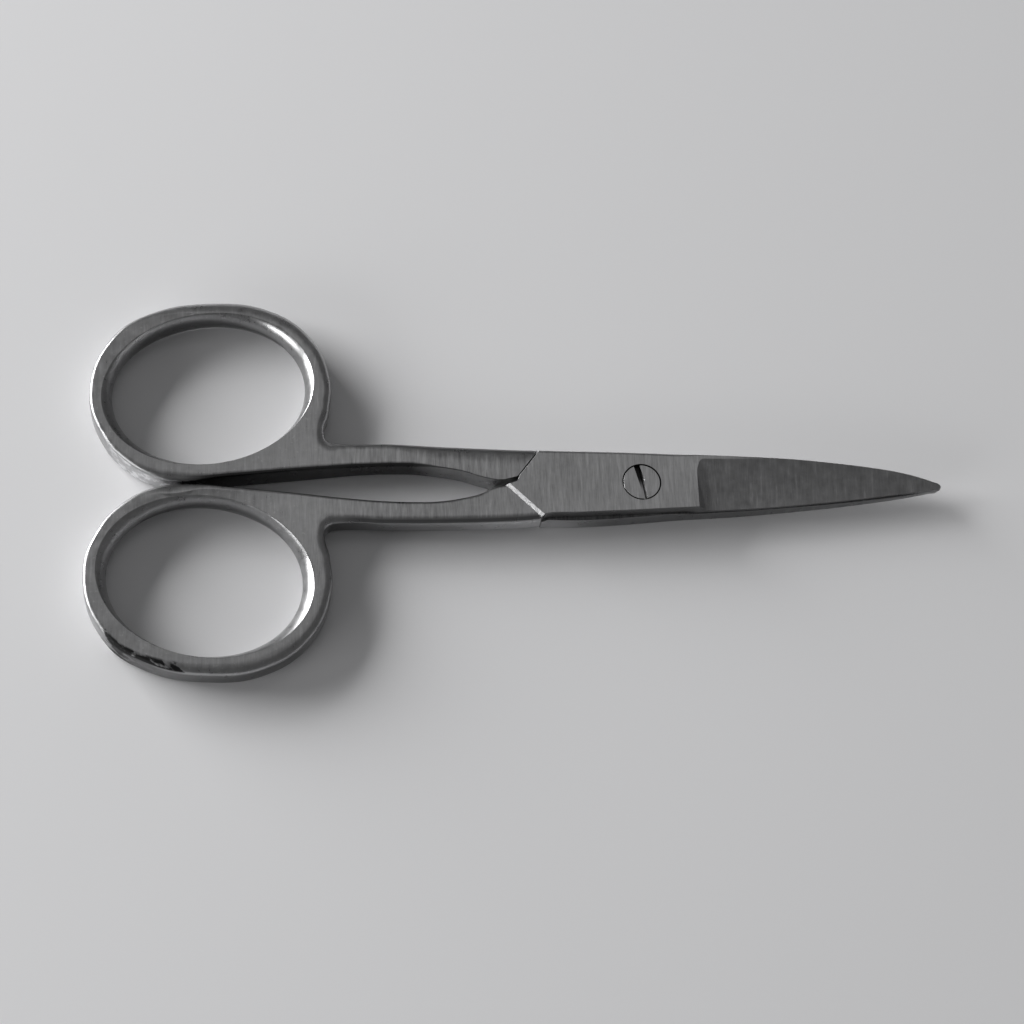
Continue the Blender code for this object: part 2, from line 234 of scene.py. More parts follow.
# %% Outlines of ring and shank
RING = [
    (-48.7, -0.12),
    (-51.2, -0.72),
    (-53.7, -2.33),
    (-55.95, -4.9),
    (-57.55, -10.2),
    (-55.5, -16.5),
    (-51.2, -19.85),
    (-44.9, -21.22),
    (-38.8, -20.35),
    (-34.45, -17.05),
    (-32.5, -12.3),
    (-32.6, -8.3),
    (-33.1, -5.7),
    (-32.7, -4.88),
    (-31.7, -4.6),
]
SHANK_OUTSIDE = {
    "top": [(-26.3, -4.63), (-21.0, -4.58), (-15.9, -4.43), (-12.8, -4.26),
            (-10.75, -4.06, True)],
    "bottom": [(-26.3, -4.53), (-21.0, -4.4), (-14.4, -4.14), (-10.75, -4.04, True)],
}
SHANK_INSIDE = {
    "top": [(-15.6, -0.45), (-16.85, -1.12), (-18.6, -1.62), (-21.2, -2.05), (-23.8, -2.14),
            (-26.4, -2.08), (-31.6, -1.7), (-37.5, -1.1), (-43.0, -0.55)],
    "bottom": [(-16.0, -0.42), (-17.3, -0.78), (-18.8, -1.26), (-21.0, -1.66), (-23.6, -1.86),
               (-26.2, -1.88), (-31.5, -1.62), (-37.5, -1.08), (-43.0, -0.55)],
}
SHANK_END = [(-10.3, -3.5, True), (-9.3, -3.3, True), (-9.3, -0.12, True), (-14.2, -0.12, True)]
HANDLE_STEPS = 12
HANDLE_FACE = 1.62
SHANK_FACE = 1.33
SHANK_TAPER = (-37.0, -28.0)
TAPER_CUTS = 12
HOLE_STEPS = 168
HOLE_AT_RIDGE = {
    "top": {"centre": (-45.33, -10.62), "half": (9.97, 8.28), "tilt": math.radians(-8.5)},
    "bottom": {"centre": (-45.2, -10.63), "half": (10.1, 8.32), "tilt": math.radians(-8.5)},
}
HOLE_AT_FACE = {"centre": (-45.25, -10.62), "half": (11.15, 8.8), "tilt": math.radians(-12.5)}
print("ring points", len(RING))

# %% [markdown]
# The rolled edge is a width and a height that blend from one stretch to the next. The stretches
# are given first, as the x, or in the gap also the y, where a blend starts and ends.

# %% How far the rounding reaches in and down at each place
LEFT_END = (-55, -46)
RIGHT_PART = (-46, -36)
NECK = (-33.5, -30.5)
WORN_END = (-27, -20)
GAP_ALONG = (-50, -44)
GAP_ACROSS = (-3.2, -2.45)
GAP_TIGHTENS = (-24.5, -20.5)
BOX_STARTS = (-10.74, -10.5)

LEFT_ROLL = (0.5, 0.7)
RING_WIDTH = (1.1, 1.3)
FAR_SIDE_WIDTH = 0.4
RING_HEIGHT = 1.2
SHANK_ROLL = (0.85, 0.66)
WORN_ROLL = (2.2, 1.05)
GAP_WIDTH = {"top": (0.45, 0.45), "bottom": (0.5, 0.14)}
GAP_STEEPNESS = 1.15
WIDTH_AT_BOX = 0.05
NEAR_FULLNESS = 2.8
FAR_FULLNESS = 1.8
QUARTER_ROUND = 2


def ease(value, start, end):
    """0 before start, 1 after end, smooth between."""
    share = min(max((value - start) / (end - start), 0), 1)
    return share * share * (3 - 2 * share)


def blend(low, high, share):
    return low + (high - low) * share


def blend_both(low, high, share):
    return [blend(first, second, share) for first, second in zip(low, high, strict=True)]


def far_side(inward, half):
    """1 where the edge looks away from the camera, 0 where it looks sideways or towards it."""
    return max(-inward.y if half == "top" else inward.y, 0)


def rounding_at(x, y, far, half):
    """Width, height and fullness of the rolled edge; far is what far_side gives there."""
    ring_width = blend(*RING_WIDTH, ease(x, *RIGHT_PART)) + FAR_SIDE_WIDTH * far
    roll = blend_both(LEFT_ROLL, (ring_width, RING_HEIGHT), ease(x, *LEFT_END))
    on_shank = ease(x, *NECK)
    roll = blend_both(roll, SHANK_ROLL, on_shank)
    fullness = blend(blend(NEAR_FULLNESS, FAR_FULLNESS, far), QUARTER_ROUND, on_shank)
    if half == "bottom":
        roll = blend_both(roll, WORN_ROLL, ease(x, *WORN_END))
    in_gap = ease(x, *GAP_ALONG) * ease(y, *GAP_ACROSS)
    tight = blend(*GAP_WIDTH[half], ease(x, *GAP_TIGHTENS))
    width, height = blend_both(roll, (tight, tight * GAP_STEEPNESS), in_gap)
    width = blend(width, WIDTH_AT_BOX, ease(x, *BOX_STARTS))
    return width, height, fullness


print("rounding at the ring's left", rounding_at(-57, -10, 0, "top"))

# %% Extrude a ring of edges level by level
ROUND_STEPS = 10
DRIFT_CURVE = [(0, 0), (0.16, 0.40), (0.40, 0.68), (0.93, 0.9765)]
DRIFT_RIM = [(0.975, 0.992), (1.02, 1), (1.055, 1)]


def raise_wall(shape, verts, edges, levels, place):
    """Extrudes edges once per level. place(number, level) says where a vertex goes, in mm."""
    number = shape.verts.layers.int["number"]
    for index, vert in enumerate(verts):
        vert[number] = index
    for level in levels:
        grown = bmesh.ops.extrude_edge_only(shape, edges=edges)["geom"]
        edges = [item for item in grown if isinstance(item, bmesh.types.BMEdge)]
        for vert in grown:
            if isinstance(vert, bmesh.types.BMVert):
                vert.co = Vector(place(vert[number], level)) * MM
    return edges


def rolled_edge(step, fullness):
    """How far in and up a rolled edge has come; fullness 2 is a quarter of an ellipse."""
    share = min(step, ROUND_STEPS) / ROUND_STEPS
    if share in (0, 1):
        return share, share
    steep = math.tan(math.pi / 2 * (1 - share))
    ratio = steep ** (1 / (fullness - 1))
    up = (1 + ratio**fullness) ** (-1 / fullness)
    return 1 - ratio * up, up


def drift_levels():
    """Steps up the hole's inside, from the ridge: steep, then one long slope to a worn rim.

    Each is a share of the way out to the hole's outline at the face, and one of the height.
    """
    ridge, low, high, rim = (Vector(point) for point in DRIFT_CURVE)
    curve = interpolate_bezier(ridge, low, high, rim, ROUND_STEPS)
    return [(point[0], point[1]) for point in curve[1:]] + DRIFT_RIM


print("steps up the hole's inside", len(drift_levels()))

# %% Make the ring and shank
COLLAR = 0.07
COLLAR_ENDS = (-16, -13)
DROOP = {"top": 0.34, "bottom": 0.18}
DROOP_ENDS = (-44, -35)


def ellipse_point(ellipse, angle):
    along = math.cos(angle) * ellipse["half"][0]
    across = math.sin(angle) * ellipse["half"][1]
    turn = ellipse["tilt"]
    x = ellipse["centre"][0] + along * math.cos(turn) - across * math.sin(turn)
    y = ellipse["centre"][1] + along * math.sin(turn) + across * math.cos(turn)
    return Vector((x, y, 0))


def inward_directions(line):
    """At each point of an anticlockwise outline, the direction square to it and into it."""
    found = []
    for index in range(len(line)):
        along = line[(index + 1) % len(line)] - line[index - 1]
        found.append(Vector((-along.y, along.x, 0)).normalized())
    return found


def raise_outside(shape, half):
    """Draws the handle and raises its rolled edge and a narrow collar; returns the rim."""
    outline = [*RING, *SHANK_OUTSIDE[half], *SHANK_END, *SHANK_INSIDE[half]]
    verts, edges = draw_outline(shape, outline, HANDLE_STEPS)
    line = [vert.co / MM for vert in verts]
    inward = inward_directions(line)

    def place(index, level):
        spot = line[index]
        far = far_side(inward[index], half)
        width, height, fullness = rounding_at(spot.x, spot.y, far, half)
        across, up = rolled_edge(level, fullness)
        if level > ROUND_STEPS:
            across += COLLAR * (1 - ease(spot.x, *COLLAR_ENDS))
        point = spot + inward[index] * across * width
        droop = DROOP[half] * far * (1 - ease(spot.x, *DROOP_ENDS))
        return point.x, point.y, HANDLE_FACE - up * droop + (up - 1) * height

    return raise_wall(shape, verts, edges, range(ROUND_STEPS + 2), place)


def raise_hole(shape, half):
    """Raises the wall of the finger hole from its ridge to the face; returns the rim."""
    circle = bmesh.ops.create_circle(shape, segments=HOLE_STEPS, radius=1)["verts"]
    edges = list(dict.fromkeys(edge for vert in circle for edge in vert.link_edges))

    def place(index, level):
        angle = math.tau * index / HOLE_STEPS
        low = ellipse_point(HOLE_AT_RIDGE[half], angle)
        point = low.lerp(ellipse_point(HOLE_AT_FACE, angle), level[0])
        return point.x, point.y, level[1] * HANDLE_FACE

    for index, vert in enumerate(circle):
        vert.co = Vector(place(index, (0, 0))) * MM
    return raise_wall(shape, circle, edges, drift_levels(), place)


def make_handle(name, half):
    shape = bmesh.new()
    rims = raise_outside(shape, half) + raise_hole(shape, half)
    bmesh.ops.triangle_fill(shape, edges=rims, use_beauty=True)
    for station in range(1, TAPER_CUTS):
        place = Vector((blend(*SHANK_TAPER, station / TAPER_CUTS) * MM, 0, 0))
        slice_shape(shape, place, (1, 0, 0))
    bmesh.ops.mirror(
        shape, geom=parts_of(shape), matrix=Matrix.Identity(4), merge_dist=MERGE, axis="Z"
    )
    for vert in shape.verts:
        taper = ease(vert.co.x / MM, *SHANK_TAPER)
        vert.co.z *= 1 + (SHANK_FACE / HANDLE_FACE - 1) * taper
    return link_piece(name, finish_mesh(shape, name))


# %% [markdown]
# ## Box and blade blank
#
# In front of the shank each forging is half as thick: a flat box that the screw goes through,
# then the blade. The box stands a little proud of its own shank, with an arrow-shaped back edge
# that is filed to a bright slope, and its side walls lean in towards the other half. One
# outline, extruded once, gives the blank. Edges of several widths in one go are what the Bevel
# modifier's edge weights are for.

# %% Outlines of box and blade
ARROW = [(-12.76, 0.93, True), (-13.15, 0.09, True), (-14.3, -0.33, True), (-10.72, -3.9, True)]
BOX_CUTTING_SIDE = [(-10.2, -3.68), (-6.7, -3.5), (-1.45, -3.25), (2.1, -3.05), (5.4, -2.87)]
CUTTING_EDGE = {
    "top": [(7.65, -2.74), (12.6, -2.42), (18.0, -1.92), (22.4, -1.45), (27.9, -0.73)],
    "bottom": [(7.65, -3.05), (12.6, -2.9), (18.0, -2.62), (22.4, -2.22), (27.9, -1.5)],
}
BLADE_TIP = {
    "top": [(32.25, -0.17, True), (32.36, -0.02), (32.3, 0.22)],
    "bottom": [(32.2, -0.36, True), (32.36, -0.2), (32.25, 0.02)],
}
SPINE = {
    "top": [(31.4, 0.62), (30.0, 1.05), (27.8, 1.56), (24.3, 2.06), (20.4, 2.46), (16.3, 2.78),
            (10.7, 3.02), (6.2, 3.22), (1.1, 3.48), (-4.2, 3.62), (-10.6, 3.7, True)],
    "bottom": [(31.2, 0.24), (28.2, 0.78), (22.7, 1.5), (18.3, 1.96), (12.9, 2.43), (5.9, 2.95),
               (-1.05, 3.66), (-6.4, 4.0), (-9.6, 3.99), (-10.6, 3.95, True)],
}
BLANK_STEPS = 10
BLANK_SPARE = 0.5
print("blade points on the top half", len(CUTTING_EDGE["top"]) + len(SPINE["top"]))

# %% Weigh the rim's edges for the Bevel modifier
SPINE_ROUNDING = 0.45
SPINE_FADE = (3.0, 7.5)
SMALL_EDGE = 0.07
ARROW_EDGE = 0.13
BACK_OF_BOX = -10.4
SPINE_FROM = 0.5
ARROW_FROM = 1
RIM_FROM = OUTER_FACE - 0.01
RIM_ANGLE = math.radians(60)
RIM_SEGMENTS = 5


def rim_width(x, y):
    """The rounding's width in millimetres on the outer rim of box and blade."""
    if y > SPINE_FROM and x > BACK_OF_BOX:
        return blend(SPINE_ROUNDING, SMALL_EDGE, ease(x, *SPINE_FADE))
    if y > ARROW_FROM:
        return ARROW_EDGE
    return SMALL_EDGE


def weigh_rim(shape):
    """Gives each edge round the outer face its share of the widest rounding."""
    weight = shape.edges.layers.float.new("bevel_weight_edge")
    for edge in shape.edges:
        middle = middle_of(edge)
        flat = abs(edge.verts[0].co.z - edge.verts[1].co.z) < MERGE
        rim = len(edge.link_faces) == 2 and edge.calc_face_angle(0) > RIM_ANGLE
        if flat and rim and middle.z > RIM_FROM:
            edge[weight] = rim_width(middle.x, middle.y) / SPINE_ROUNDING


def bake_modifiers(piece):
    """Replaces a piece's mesh by what its modifiers make of it."""
    bpy.context.view_layer.update()
    made = piece.evaluated_get(bpy.context.evaluated_depsgraph_get())
    mesh = bpy.data.meshes.new_from_object(made)
    old = piece.data
    piece.modifiers.clear()
    piece.data = mesh
    bpy.data.meshes.remove(old)


def round_rim(blank):
    bevel = blank.modifiers.new("rim", "BEVEL")
    bevel.limit_method = "WEIGHT"
    bevel.width = SPINE_ROUNDING * MM
    bevel.segments = RIM_SEGMENTS
    bevel.use_clamp_overlap = False
    bake_modifiers(blank)


# %% File the arrow's slope and lean the walls
ARROW_SLOPE = (0.34, 0.36)
SPINE_WALL = {"lean": 0.42, "back": (-10.6, -9.8), "least": 0.15, "front": (2.0, 7.0)}
CUTTING_WALL = {"lean": 0.24, "back": (-10.76, -10.5), "least": 0, "front": (4.5, 6.0)}
WALL_FROM = 2


def file_arrow(shape):
    """Cuts the blank with one tilted plane along the arrow's own-side edge."""
    tip = Vector((*ARROW[2][:2], OUTER_FACE - ARROW_SLOPE[1]))
    corner = Vector((*ARROW[3][:2], OUTER_FACE - ARROW_SLOPE[1]))
    along = (corner - tip).normalized()
    across = Vector((-along.y, along.x, 0)) * ARROW_SLOPE[0] + Vector((0, 0, ARROW_SLOPE[1]))
    normal = along.cross(across).normalized()
    slice_shape(shape, tip * MM, normal, clear_outer=True)
    close_rims(shape)


def lean_share(wall, x):
    """How much of its lean a wall has at x: least at the arrow, none along the blade."""
    return blend(wall["least"], 1, ease(x, *wall["back"])) * (1 - ease(x, *wall["front"]))


def lean_walls(shape):
    """Moves the feet of the blank's two side walls in towards each other."""
    for vert in shape.verts:
        x, y, z = vert.co / MM
        if z < LAP_FACE and y > WALL_FROM:
            vert.co.y -= SPINE_WALL["lean"] * MM * lean_share(SPINE_WALL, x)
        if z < LAP_FACE and y < -WALL_FROM:
            vert.co.y += CUTTING_WALL["lean"] * MM * lean_share(CUTTING_WALL, x)


# %% Make the blank
def make_blank(name, half):
    outline = [*ARROW[2:], *BOX_CUTTING_SIDE, *CUTTING_EDGE[half], *BLADE_TIP[half]]
    outline += [*SPINE[half], *ARROW[:2]]
    shape = bmesh.new()
    raise_slab(shape, outline, BLANK_STEPS, LAP_FACE - BLANK_SPARE, OUTER_FACE)
    bmesh.ops.recalc_face_normals(shape, faces=shape.faces)
    print(name, "open edges", count_open_edges(shape))

    file_arrow(shape)
    weigh_rim(shape)
    lean_walls(shape)
    blank = link_piece(name, finish_mesh(shape, name))
    round_rim(blank)
    return blank


# %% [markdown]
# ## Grinding the blade
#
# The blade's outer face is hollow: it was held along the rim of a big grinding wheel, and where
# the wheel stopped its rounded corner left the step beside the box. So the simplest true way to
# make that face is to build the wheel and cut with it. A flat cutter would lose the faint hollow
# that makes the reflections run along the blade.

# %% Make the grinding wheel
WHEEL_RADIUS = 50.0
WHEEL_PROFILE = [(-3, -6), (-3, 0), (30, 0), (30, -6)]
WHEEL_CORNER = 0.72
WHEEL_CORNER_SEGMENTS = 10
WHEEL_SWEEP = math.radians(12)
WHEEL_STEPS = 72
FACES_FRONT = 0.99
FACES_DOWN = 0.2
ROOT_X = 5.93
SPINE_AT_ROOT = (3.25, 1.8)
EDGE_AT_ROOT = (-2.87, 0.42)
TIP_AT = (32.4, 0.1, 0.66)


def bevel_edges(shape, edges, width, segments, clamp=True):
    bmesh.ops.bevel(
        shape, geom=edges, offset=width * MM, offset_type="OFFSET", affect="EDGES",
        segments=segments, profile=0.5, material=-1, clamp_overlap=clamp,
    )


def dress_front(shape):
    """Cuts the wheel's front off at 45 degrees and rounds the corner that is left."""
    close_rims(shape)
    front = Vector((ROOT_X, 0, OUTER_FACE)) * MM
    slice_shape(shape, front, (1, 0, 1), clear_inner=True)
    close_rims(shape)
    bmesh.ops.recalc_face_normals(shape, faces=shape.faces)
    facing = Vector((-1, 0, -1)).normalized()
    corner = []
    for edge in shape.edges:
        normals = [face.normal for face in edge.link_faces]
        fronts = [normal for normal in normals if normal.dot(facing) > FACES_FRONT]
        downs = [normal for normal in normals if abs(normal.x) < FACES_DOWN > normal.z]
        if len(fronts) == 1 and len(downs) == 1:
            corner.append(edge)
    print("wheel corner pieces", len(corner))
    bevel_edges(shape, corner, WHEEL_CORNER, WHEEL_CORNER_SEGMENTS, clamp=False)


def make_wheel(name):
    """Spins the wheel's profile round an axis that lies along the blade, above its face."""
    spine = Vector((ROOT_X, *SPINE_AT_ROOT))
    edge = Vector((ROOT_X, *EDGE_AT_ROOT))
    across = (spine - edge).normalized()
    normal = (Vector(TIP_AT) - edge).cross(across).normalized()
    along = across.cross(normal)
    chord = (spine - edge).length
    lift = math.sqrt(WHEEL_RADIUS**2 - (chord / 2) ** 2)
    centre = (spine + edge) / 2 + normal * lift

    shape = bmesh.new()
    first = Matrix.Rotation(-WHEEL_SWEEP / 2, 3, along)
    verts = []
    for forward, out in WHEEL_PROFILE:
        spoke = first @ (-normal * (WHEEL_RADIUS + out))
        verts.append(shape.verts.new((centre + along * forward + spoke) * MM))
    edges = [shape.edges.new((verts[i - 1], verts[i])) for i in range(len(verts))]
    bmesh.ops.spin(
        shape, geom=verts + edges, cent=centre * MM, axis=along, dvec=(0, 0, 0),
        angle=WHEEL_SWEEP, steps=WHEEL_STEPS, use_merge=False, use_normal_flip=False,
        use_duplicate=False,
    )
    dress_front(shape)
    return link_piece(name, finish_mesh(shape, name))


def cut(piece, tool, operation="DIFFERENCE"):
    """Cuts piece with tool, or joins it on, and removes the tool."""
    modifier = piece.modifiers.new("cut", "BOOLEAN")
    modifier.operation = operation
    modifier.solver = "EXACT"
    modifier.object = tool
    bake_modifiers(piece)
    bpy.data.objects.remove(tool)


# %% Grind, then break the two long edges
EDGE_BEVEL = 0.26
SPINE_CHAMFER = 0.16
EDGES_FROM = ROOT_X + 1.6
EDGES_TO = 32.1
EDGES_ABOVE = LAP_FACE + 0.1
SPINE_SIDE = 0.25
SPINE_SIDE_TURNS = (25, 32)
UPRIGHT = 0.3
LEVEL = 0.9


def blade_edges(shape, on_spine):
    """The long edges between the ground face and the blade's side walls."""
    found = []
    for edge in shape.edges:
        if len(edge.link_faces) != 2:
            continue
        middle = middle_of(edge)
        if not EDGES_FROM <= middle.x <= EDGES_TO or middle.z < EDGES_ABOVE:
            continue
        tilts = sorted(abs(face.normal.z) for face in edge.link_faces)
        side = middle.y > SPINE_SIDE * (1 - ease(middle.x, *SPINE_SIDE_TURNS))
        if tilts[0] < UPRIGHT and tilts[1] > LEVEL and side == on_spine:
            found.append(edge)
    return found


def grind_blade(blank):
    cut(blank, make_wheel("wheel"))
    shape = bmesh.new()
    shape.from_mesh(blank.data)
    bmesh.ops.remove_doubles(shape, verts=shape.verts, dist=MERGE)
    bmesh.ops.dissolve_degenerate(shape, edges=shape.edges, dist=MERGE)
    edges = blade_edges(shape, False)
    print("cutting edge pieces", len(edges))
    bevel_edges(shape, edges, EDGE_BEVEL, 1)
    edges = blade_edges(shape, True)
    print("spine pieces", len(edges))
    bevel_edges(shape, edges, SPINE_CHAMFER, 2)
    bmesh.ops.recalc_face_normals(shape, faces=shape.faces)
    shape.to_mesh(blank.data)
    shape.free()


# %% [markdown]
# ## Drilling and lapping
#
# The screw passes a plain hole with a sunk seat for its head in the top half, and is screwed
# into the bottom half. Turned tools are a profile spun round the axis. Last, everything on the
# far side of the middle plane is milled away in front of the shoulder, which leaves room for
# the other half and a hairline gap beside its arrow.

# %% Spin a profile into a solid
HEAD_RADIUS = 1.93
HEAD_TOP = 1.615
HEAD_FLOOR = HEAD_TOP - 0.7
SINK_RADIUS = 2.04
SINK_FLOOR = HEAD_FLOOR - 0.04
BORE_RADIUS = 1.45
TAPPED_RADIUS = 1.26
CLEAR = 3
DRILLS = {
    "top": [(0, CLEAR), (SINK_RADIUS, CLEAR), (SINK_RADIUS, SINK_FLOOR),
            (BORE_RADIUS, SINK_FLOOR), (BORE_RADIUS, -CLEAR), (0, -CLEAR)],
    "bottom": [(0, CLEAR), (TAPPED_RADIUS, CLEAR), (TAPPED_RADIUS, -CLEAR), (0, -CLEAR)],
}
LAP_OUTLINE = [
    (-9.4, -5.62, True), (-10.87, -3.63, True), (-13.01, -0.78, True), (-13.55, -0.6, True),
    (-14.4, -0.38, True), (-15.2, -0.32, True), (-16.4, -0.3, True), (-16.4, 6.0, True),
    (34.0, 6.0, True), (34.0, -5.62, True),
]


def turn_solid(name, profile, steps=96):
    """A solid of revolution about Z from (radius, height) points in mm, top to bottom."""
    shape = bmesh.new()
    verts = [shape.verts.new((radius * MM, 0, height * MM)) for radius, height in profile]
    edges = [shape.edges.new(pair) for pair in zip(verts, verts[1:])]
    bmesh.ops.spin(
        shape, geom=verts + edges, cent=(0, 0, 0), axis=(0, 0, 1), dvec=(0, 0, 0),
        angle=math.tau, steps=steps, use_merge=True, use_normal_flip=False,
        use_duplicate=False,
    )
    return link_piece(name, finish_mesh(shape, name))


def make_lap_cutter(name):
    shape = bmesh.new()
    raise_slab(shape, LAP_OUTLINE, 1, LAP_FACE, -CLEAR)
    return link_piece(name, finish_mesh(shape, name))


# %% Put a half together
HALF_CREASE = math.radians(28)


def shade_piece(piece, crease):
    piece.data.shade_smooth()
    piece.data.set_sharp_from_angle(angle=crease)


def make_half(name, half):
    blank = make_blank(name + "_blank", half)
    grind_blade(blank)
    cut(blank, turn_solid(name + "_drill", DRILLS[half]))
    piece = make_handle(name, half)
    cut(piece, blank, "UNION")
    cut(piece, make_lap_cutter(name + "_lap"))
    piece.data.transform(STAND[half])
    shade_piece(piece, HALF_CREASE)
    smooth = piece.modifiers.new("flat faces stay flat", "WEIGHTED_NORMAL")
    smooth.keep_sharp = True
    smooth.weight = 100
    shape = bmesh.new()
    shape.from_mesh(piece.data)
    print(name, len(shape.faces), "faces,", count_open_edges(shape), "open edges")
    shape.free()
    return piece


top_half = make_half("top_half_forging", "top")
bottom_half = make_half("bottom_half_forging", "bottom")

# %% [markdown]
# ## The pivot screw
#
# A cheese-head screw, turned, slotted and then ground level with the box, so its head carries
# the same satin grain. The slot was cut before the grinding, with a tilted cutter. It is deep
# and square at the far end. At the near end it is shallow, one lip is worn wide and the walls
# meet in a narrow floor.

# %% Turn and slot the screw
SHOULDER_RADIUS = 1.4
END_RADIUS = 1.2
END_HEIGHT = -1.55
HEAD_CHAMFER = 0.03
END_CHAMFER = 0.15
SCREW_CREASE = math.radians(30)
SLOT_SIZE = (5.0, 0.66, 0.9)
SLOT_NEAR_FLOOR = (0, 0.079)
SLOT_NEAR_LIPS = (-0.6, 0.18)
SLOT_TILT = math.radians(3)
SLOT_TURN = math.radians(101.3)
SLOT_SHIFT = -0.09
SLOT_RISE = 0.06


def make_slot_cutter(name):
    """A block along the slot, whose near end is drawn in below and widened above."""
    shape = bmesh.new()
    bmesh.ops.create_cube(shape, size=1)
    bmesh.ops.scale(shape, vec=[side * MM for side in SLOT_SIZE], verts=shape.verts)
    for vert in shape.verts:
        if vert.co.x < 0:
            walls = SLOT_NEAR_FLOOR if vert.co.z < 0 else SLOT_NEAR_LIPS
            vert.co.y = walls[vert.co.y > 0] * MM
    bmesh.ops.rotate(shape, matrix=Matrix.Rotation(SLOT_TILT, 3, "Y"), verts=shape.verts)
    bmesh.ops.translate(shape, vec=(0, 0, (HEAD_TOP + SLOT_RISE) * MM), verts=shape.verts)
    bmesh.ops.rotate(shape, matrix=Matrix.Rotation(SLOT_TURN, 3, "Z"), verts=shape.verts)
    bmesh.ops.translate(shape, vec=(SLOT_SHIFT * MM, 0, 0), verts=shape.verts)
    return link_piece(name, finish_mesh(shape, name))


def make_screw(name):
    screw = turn_solid(name, [
        (0, HEAD_TOP),
        (HEAD_RADIUS - HEAD_CHAMFER, HEAD_TOP),
        (HEAD_RADIUS, HEAD_TOP - HEAD_CHAMFER),
        (HEAD_RADIUS, HEAD_FLOOR),
        (SHOULDER_RADIUS, HEAD_FLOOR),
        (SHOULDER_RADIUS, 0),
        (END_RADIUS, 0),
        (END_RADIUS, END_HEIGHT + END_CHAMFER),
        (END_RADIUS - END_CHAMFER, END_HEIGHT),
        (0, END_HEIGHT),
    ])
    cut(screw, make_slot_cutter(name + "_slot"))
    screw.data.transform(STAND["top"])
    shade_piece(screw, SCREW_CREASE)
    return screw


screw = make_screw("slotted_pivot_screw")
print("screw faces", len(screw.data.polygons))

# %% Ride on the bodies and stand in for the CAD nodes
for piece, body, node, finish in (
    (top_half, "top", "top_half", "top_half_steel"),
    (bottom_half, "bottom", "bottom_half", "bottom_half_steel"),
    (screw, "bottom", "pivot_screw", "screw_steel"),
):
    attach(piece, body)
    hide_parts(node)


# %% [markdown]
# ## Shader maths as Python
#
# A node tree is quicker to read as an expression. The class below wraps an output socket, so
# that adding or multiplying two of them adds a Math node, and one method makes any other node.

# %% Wrap a socket
class Wire:
    """An output socket that Python's arithmetic works on."""

    def __init__(self, tree, socket=None):
        self.tree = tree
        self.socket = socket

    def make(self, kind, settings, sockets, output=0):
        """Adds a node: its settings first, then the values or links of its sockets."""
        node = self.tree.nodes.new(kind)
        for name, value in settings.items():
            setattr(node, name, value)
        for name, value in sockets.items():
            if isinstance(value, Wire):
                self.tree.links.new(value.socket, node.inputs[name])
            else:
                node.inputs[name].default_value = value
        return Wire(self.tree, node.outputs[output])

    def math(self, operation, *values):
        return self.make("ShaderNodeMath", {"operation": operation}, dict(enumerate(values)))

    def __add__(self, other):
        return self.math("ADD", self, other)

    def __mul__(self, other):
        return self.math("MULTIPLY", self, other)

    def __sub__(self, other):
        return self.math("SUBTRACT", self, other)

    def __rsub__(self, other):
        return self.math("SUBTRACT", other, self)

    def __abs__(self):
        return self.math("ABSOLUTE", self)

    def part(self, axis):
        return self.make("ShaderNodeSeparateXYZ", {}, {"Vector": self}, axis)

    def over(self, low, high):
        """0 below low, 1 above high, smooth between."""
        return self.make(
            "ShaderNodeMapRange",
            {"interpolation_type": "SMOOTHSTEP"},
            {"Value": self, "From Min": low, "From Max": high},
        )

    def under(self, low, high):
        return 1 - self.over(low, high)

    def past(self, start, end):
        """over, with its two places in millimetres."""
        return self.over(start * MM, end * MM)

    def before(self, start, end):
        return 1 - self.past(start, end)


# %% Noise and colour
def noise(place, scale, detail, rough):
    """Noise in a place given in metres; scale is the number of its features in a metre."""
    stretched = place.make("ShaderNodeMapping", {}, {"Vector": place, "Scale": scale})
    return place.make(
        "ShaderNodeTexNoise", {"noise_dimensions": "3D"},
        {"Vector": stretched, "Scale": 1.0, "Detail": detail, "Roughness": rough},
        "Fac",
    )


def grey(value):
    """A steel's grey as a colour, with a touch of blue."""
    return value, value, value * 1.01, 1


def mix_colour(factor, first, second):
    """Blends two colours, each a Wire or one grey number."""
    low, high = (end if isinstance(end, Wire) else grey(end) for end in (first, second))
    return factor.make(
        "ShaderNodeMix", {"data_type": "RGBA", "clamp_factor": True},
        {"Factor": factor, 6: low, 7: high}, 2,
    )


print("grey", grey(0.4))

# %% [markdown]
# ## What the steel's masks look at
#
# Every mask is made from two things: where a point lies on the scissors at rest, and which way
# its surface faces. Both are taken in object space, so nothing slides when a half turns. The
# pairs of numbers are where a mask starts and where it is full, in millimetres for places and
# from 0 to 1 for how level a surface is or how much it faces the near side.

# %% Read the surface
UPRIGHT_WALL = (0.1, 0.3)
NEAR_SIDE = (0.5, 0.8)
BOX_FROM = (1.8, 2.6)


class Surface:
    """Where a point of the steel lies and which way it faces, each as a Wire."""

    def __init__(self, tree):
        start = Wire(tree)
        self.place = start.make("ShaderNodeTexCoord", {}, {}, "Object")
        self.normal = start.make("ShaderNodeTexCoord", {}, {}, "Normal")
        self.along = self.place.part("X")
        self.across = self.place.part("Y")
        self.right = self.normal.part("X")
        self.near = self.normal.part("Y") * -1
        self.level = abs(self.normal.part("Z"))
        self.straight = abs(self.right).under(0.25, 0.4)
        self.box = self.along.past(*BOX_FROM)
